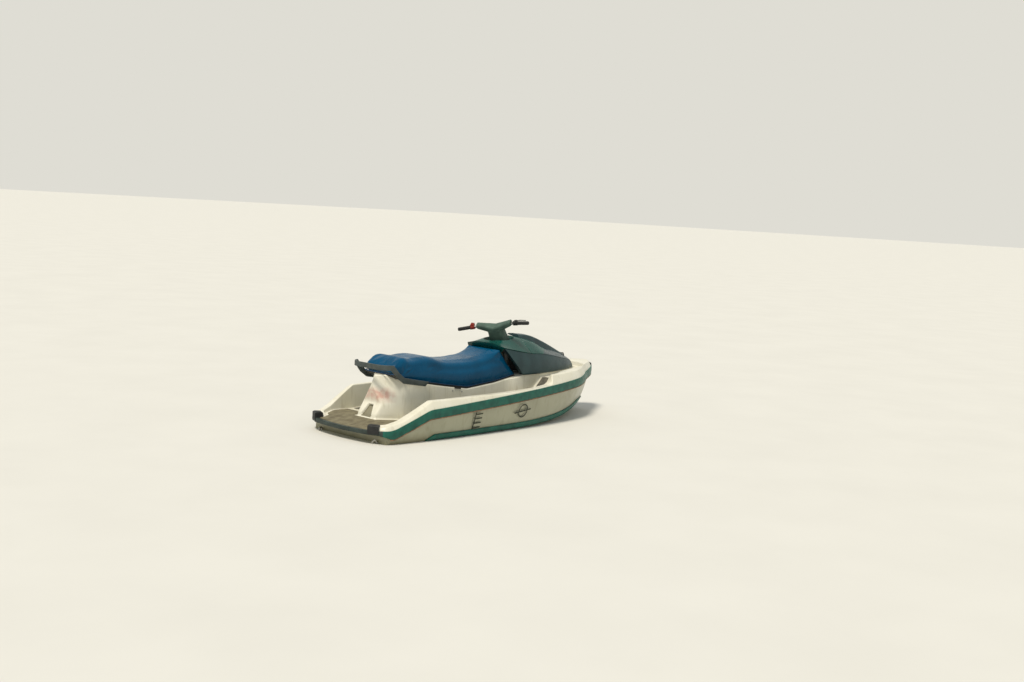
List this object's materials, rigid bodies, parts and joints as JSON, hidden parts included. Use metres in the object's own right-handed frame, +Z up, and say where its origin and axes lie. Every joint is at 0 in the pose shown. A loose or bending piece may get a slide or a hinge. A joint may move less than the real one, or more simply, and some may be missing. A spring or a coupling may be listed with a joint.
{
  "type": "personal watercraft",
  "caption": "Sit-down runabout watercraft with long stepped seat, teal rub rail, hinged bow hood, raked handlebar and water-jet drive.",
  "frame": {"origin": "on the centreline amidships, at the waterline of the empty craft afloat", "axes": "+X towards the bow, +Y to port, +Z up"},
  "size_m": [3.169, 1.1204, 1.1208],
  "materials": {
    "cream_gelcoat": "glossy gelcoat, weathered and water-stained",
    "teal_gelcoat": "glossy gelcoat",
    "teal_rail": "vinyl extrusion, worn",
    "slate_plastic": "moulded, satin",
    "green_plastic": "moulded, grained",
    "grey_plastic": "moulded, grained",
    "black_plastic": "moulded",
    "red_plastic": "moulded",
    "black_rubber": "moulded",
    "mat_rubber": "ribbed, dirty",
    "blue_vinyl": "glossy coated vinyl",
    "steel": "brushed",
    "aluminium": "cast",
    "engine_iron": "painted casting"
  },
  "bodies": {
    "hull": {"hull_shell": "cream_gelcoat", "spray_rails": "teal_gelcoat", "rub_rail": "teal_rail", "bow_bumper": "black_rubber", "corner_pads": "black_rubber", "bow_eye": "steel", "stern_eyes": "steel", "drain_plugs": "black_plastic", "deck_moulding": "cream_gelcoat", "footwell_mats": "mat_rubber", "toe_mats": "mat_rubber", "platform_mat": "mat_rubber", "fuel_cap": "black_plastic", "cowl": "slate_plastic", "upper_cowl": "teal_gelcoat", "nose_cap": "slate_plastic", "hood_hinge": "steel", "storage_bin": "black_plastic", "steering_mount": "aluminium", "engine_block": "engine_iron", "pump_housing": "aluminium", "intake_grate": "aluminium", "ride_plate": "aluminium"},
    "steering": {"steering_shaft": "steel", "steering_pad": "green_plastic", "handlebar": "steel", "grips": "black_rubber", "throttle_housing": "black_plastic", "throttle_lever": "aluminium", "stop_switch": "black_plastic", "stop_button": "red_plastic"},
    "jet_nozzle": {"steering_nozzle": "aluminium"},
    "gate": {"reverse_gate": "aluminium"},
    "impeller": {"impeller": "steel"},
    "hood": {"hood": "teal_gelcoat", "hood_spine": "slate_plastic"},
    "seat": {"seat_pan": "black_plastic", "seat_cushion": "blue_vinyl", "grab_handle": "grey_plastic"}
  },
  "joints": [
    {"name": "steering", "type": "hinge", "parent": "hull", "child": "steering", "pos_m": [0.18, 0, 0.84], "axis": [-0.5, 0, 0.866], "range_deg": [-50, 10]},
    {"name": "nozzle_turn", "type": "hinge", "parent": "hull", "child": "jet_nozzle", "pos_m": [-1.382, 0, -0.095], "axis": [0, 0, 1], "range_deg": [-6, 30]},
    {"name": "gate_swing", "type": "hinge", "parent": "jet_nozzle", "child": "gate", "pos_m": [-1.43678, 0.01164, -0.095], "axis": [-0.2079, -0.9781, 0], "range_deg": [0, 85]},
    {"name": "impeller_spin", "type": "hinge", "parent": "hull", "child": "impeller", "pos_m": [-1.25, 0, -0.095], "axis": [1, 0, 0], "continuous": true},
    {"name": "hood_lift", "type": "hinge", "parent": "hull", "child": "hood", "pos_m": [1.143, 0, 0.552], "axis": [0, 1, 0], "range_deg": [0, 55]},
    {"name": "seat_lift_off", "type": "slide", "parent": "hull", "child": "seat", "axis": [-0.722, 0, 0.6919], "range_m": [0, 0.25]}
  ],
  "couplings": [
    {"joint": "nozzle_turn", "follows": "steering", "ratio": -0.6}
  ]
}
